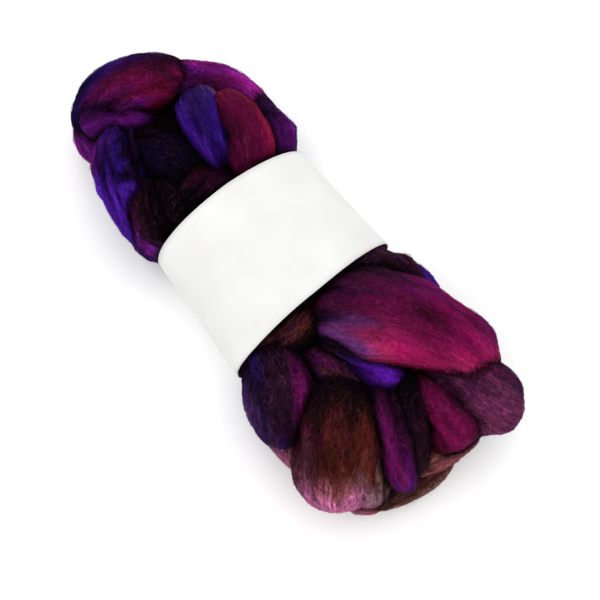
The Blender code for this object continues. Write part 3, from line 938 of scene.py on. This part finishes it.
# The paper band: a strip wrapped once round with its end lapped over its start. Degrees and mm; a wave
# has its size, rounds and phase.
wrap = {"steps": (20, 220), "start": 148, "overlap": 28, "lift": 0.5, "liftSpan": (-0.25, 0.05),
        "paper": 0.35, "clear": 0.15, "floor": 0.03, "farSkew": (2.5, 3.0), "nearSkew": (2.0, -3.5),
        "farWave": (0.4, 2, 0), "nearWave": (0.5, 3, 0.4), "belly": (0.35, 2, 1.1), "rim": (0.25, 5, 0),
        "sway": 0.5, "swayFrom": 0.7}
paperLook = {
    "shader": {"Roughness": 0.62, "Specular IOR Level": 0.3},
    "pulp": {"Scale": 900, "Detail": 5}, "cloud": {"Scale": 38, "Detail": 3},
    "tones": ((0.3, (0.66, 0.655, 0.648, 1)), (0.7, (0.72, 0.72, 0.715, 1))),
    "raised": {"Strength": 0.12, "Distance": 0.0002},
}


def paperMaterial(look):
    made, shader = newMaterial("bandPaper", look["shader"])
    nodes = made.node_tree.nodes
    where = nodes.new("ShaderNodeTexCoord")
    pulp, cloud = nodes.new("ShaderNodeTexNoise"), nodes.new("ShaderNodeTexNoise")
    setInputs(pulp, look["pulp"])
    setInputs(cloud, look["cloud"])
    ramp = nodes.new("ShaderNodeValToRGB")
    for element, (position, tone) in zip(ramp.color_ramp.elements, look["tones"]):
        element.position, element.color = position, tone
    raised = nodes.new("ShaderNodeBump")
    setInputs(raised, look["raised"])
    link(where, "Object", pulp, "Vector")
    link(where, "Object", cloud, "Vector")
    link(cloud, "Fac", ramp, "Fac")
    link(ramp, "Color", shader, "Base Color")
    link(pulp, "Fac", raised, "Height")
    link(raised, "Normal", shader, "Normal")
    return made


def bandSection(angle, share, out):
    halfWidth = bandHalf("halfWidth", share) + out
    halfHeight = bandHalf("halfHeight", share)
    sideways, upwards = fullCircle(angle, band["squareness"])
    z = np.maximum(halfHeight - band["sink"] + (halfHeight + out) * upwards, wrap["floor"])
    return band["middleY"] + halfWidth * sideways, z


def skewed(ends, angle):
    # how far an edge is moved along the hank, from the near side of the band to the far side
    return ends[0] * np.clip(-np.cos(angle), 0, 1) + ends[1] * np.clip(np.cos(angle), 0, 1)


def wave(angle, size, rounds, phase):
    return size * np.sin(rounds * angle + phase)


def addBand():
    along, around = wrap["steps"]
    bpy.ops.mesh.primitive_grid_add(x_subdivisions=along, y_subdivisions=around, size=2)
    made = bpy.context.object
    mesh = made.data
    flat = vertices(mesh)
    share, lap = (flat[:, 0] + 1) / 2, (flat[:, 1] + 1) / 2
    start = math.radians(wrap["start"])
    angle = start + lap * (2 * math.pi + math.radians(wrap["overlap"]))
    liftFrom, liftTo = (2 * math.pi + place for place in wrap["liftSpan"])
    lifted = smoothStep(liftFrom, liftTo, angle - start) * wrap["lift"]
    sway = wave(angle, *wrap["belly"]) * np.sin(math.pi * share) + wave(angle, *wrap["rim"]) * share
    clearOfTable = np.clip(np.sin(angle) + wrap["swayFrom"], 0, 1)
    y, z = bandSection(angle, share, wrap["clear"] + lifted + wrap["sway"] * sway * clearOfTable)
    farEdge = skewed(wrap["farSkew"], angle) + wave(angle, *wrap["farWave"])
    nearEdge = skewed(wrap["nearSkew"], angle) + wave(angle, *wrap["nearWave"])
    x = band["far"] + (band["near"] - band["far"]) * share + (1 - share) * farEdge + share * nearEdge
    mesh.vertices.foreach_set("co", placed(np.stack([x, y, z], -1)).ravel())
    mesh.flip_normals()
    mesh.update()
    made.name = mesh.name = "paperBand"
    bpy.ops.object.shade_smooth()
    wall = made.modifiers.new("paper", "SOLIDIFY")
    wall.thickness = wrap["paper"] * mm
    wall.offset = -1
    bpy.ops.object.modifier_apply(modifier="paper")
    mesh.materials.append(paperMaterial(paperLook))
    return made


paperBand = addBand()
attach(paperBand, "root")
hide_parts("paper_band")
print("band made")


# Stage: a pale floor and plain soft light.
stage = {
    "size": 6.0, "floor": {"Base Color": (0.98, 0.98, 0.98, 1), "Roughness": 0.9},
    "world": {"Color": (1, 1, 1, 1), "Strength": 1.0},
    "lights": {
        "softTop": {"place": (-0.15, 0.1, 1.6), "aim": (0, 0, 0), "size": 1.8, "power": 11},
        "softFront": {"place": (0.9, -0.9, 0.9), "aim": (0, 0, 0.03), "size": 1.0, "power": 2},
    },
}


def addFloor(spec):
    bpy.ops.mesh.primitive_plane_add(size=spec["size"], location=(0, 0, 0))
    made = bpy.context.object
    made.name = "floor"
    made.data.materials.append(newMaterial("paleFloor", spec["floor"])[0])


def addLight(name, place, aim, size, power):
    bpy.ops.object.light_add(type="AREA", location=place)
    made = bpy.context.object
    made.name = name
    made.data.size = size
    made.data.energy = power
    made.rotation_euler = (Vector(place) - Vector(aim)).to_track_quat("Z", "Y").to_euler()


addFloor(stage)
for name, light in stage["lights"].items():
    addLight(name, **light)
world = bpy.data.worlds.new("studio")
bpy.context.scene.world = world
world.use_nodes = True
setInputs(world.node_tree.nodes["Background"], stage["world"])
bpy.context.scene.view_settings.view_transform = "Standard"
print("stage made")
